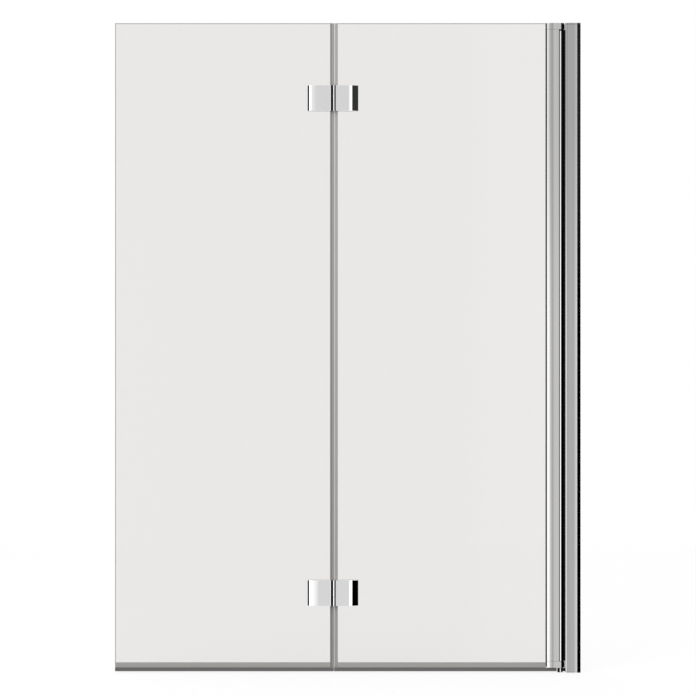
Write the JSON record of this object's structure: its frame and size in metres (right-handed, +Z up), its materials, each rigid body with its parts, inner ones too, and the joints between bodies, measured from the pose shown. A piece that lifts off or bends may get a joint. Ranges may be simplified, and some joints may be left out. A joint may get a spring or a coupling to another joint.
{
  "type": "folding bath screen",
  "caption": "Frameless folding bath screen: a pivoting wall profile clamps the inner glass pane, and chrome glass-to-glass hinges carry the outer pane.",
  "frame": {"origin": "on the wall face of the wall channel, at half the screen's height and half the channel's width", "axes": "+X out of the back of the wall channel into the wall, +Z up along the channel, -Y towards the front that the picture shows"},
  "size_m": [1.0033, 0.0325, 1.4],
  "materials": {
    "chrome": "mirror-bright chrome plate",
    "polished_aluminium": "bright polished and anodised extrusion",
    "clear_glass": "clear toughened glass, 6 mm",
    "seal_vinyl": "clear grey flexible vinyl",
    "gasket_rubber": "dark soft rubber",
    "nylon": "natural nylon",
    "stainless_steel": "plain stainless steel"
  },
  "bodies": {
    "wall": {"channel_cap_bottom": "chrome", "channel_cap_top": "chrome", "wall_channel": "polished_aluminium"},
    "jamb": {"jamb_profile": "polished_aluminium", "jamb_screw_1": "stainless_steel", "jamb_screw_2": "stainless_steel", "jamb_screw_3": "stainless_steel", "jamb_screw_cover_1": "chrome", "jamb_screw_cover_2": "chrome", "jamb_screw_cover_3": "chrome", "pivot_foot": "chrome", "pivot_pin_bottom": "stainless_steel", "pivot_pin_top": "stainless_steel", "pivot_thrust_washer": "nylon"},
    "inner_leaf": {"glazing_gasket_front": "gasket_rubber", "glazing_gasket_rear": "gasket_rubber", "hinge_bottom_inner_back_gasket": "gasket_rubber", "hinge_bottom_inner_back_plate": "chrome", "hinge_bottom_inner_front_gasket": "gasket_rubber", "hinge_bottom_inner_leaf": "chrome", "hinge_bottom_inner_screw_1": "stainless_steel", "hinge_bottom_inner_screw_2": "stainless_steel", "hinge_bottom_pin": "stainless_steel", "hinge_top_inner_back_gasket": "gasket_rubber", "hinge_top_inner_back_plate": "chrome", "hinge_top_inner_front_gasket": "gasket_rubber", "hinge_top_inner_leaf": "chrome", "hinge_top_inner_screw_1": "stainless_steel", "hinge_top_inner_screw_2": "stainless_steel", "hinge_top_pin": "stainless_steel", "inner_bottom_seal": "seal_vinyl", "inner_fold_seal": "seal_vinyl", "inner_glass": "clear_glass", "pivot_bush_bottom": "nylon", "pivot_bush_top": "nylon", "swing_cap_bottom": "chrome", "swing_cap_screw_bottom": "stainless_steel", "swing_cap_screw_top": "stainless_steel", "swing_cap_top": "chrome", "swing_profile": "polished_aluminium"},
    "outer_leaf": {"hinge_bottom_outer_back_gasket": "gasket_rubber", "hinge_bottom_outer_back_plate": "chrome", "hinge_bottom_outer_front_gasket": "gasket_rubber", "hinge_bottom_outer_leaf": "chrome", "hinge_bottom_outer_screw_1": "stainless_steel", "hinge_bottom_outer_screw_2": "stainless_steel", "hinge_top_outer_back_gasket": "gasket_rubber", "hinge_top_outer_back_plate": "chrome", "hinge_top_outer_front_gasket": "gasket_rubber", "hinge_top_outer_leaf": "chrome", "hinge_top_outer_screw_1": "stainless_steel", "hinge_top_outer_screw_2": "stainless_steel", "outer_bottom_seal": "seal_vinyl", "outer_fold_seal": "seal_vinyl", "outer_glass": "clear_glass"}
  },
  "joints": [
    {"name": "width_slide", "type": "slide", "parent": "wall", "child": "jamb", "axis": [-1, 0, 0], "range_m": [0, 0.014]},
    {"name": "wall_pivot", "type": "hinge", "parent": "jamb", "child": "inner_leaf", "pos_m": [-0.0435, 0, 0], "axis": [0, 0, 1], "range_deg": [-90, 90]},
    {"name": "fold_hinge", "type": "hinge", "parent": "inner_leaf", "child": "outer_leaf", "pos_m": [-0.5313, -0.0124, 0], "axis": [0, 0, 1], "range_deg": [0, 180]}
  ]
}
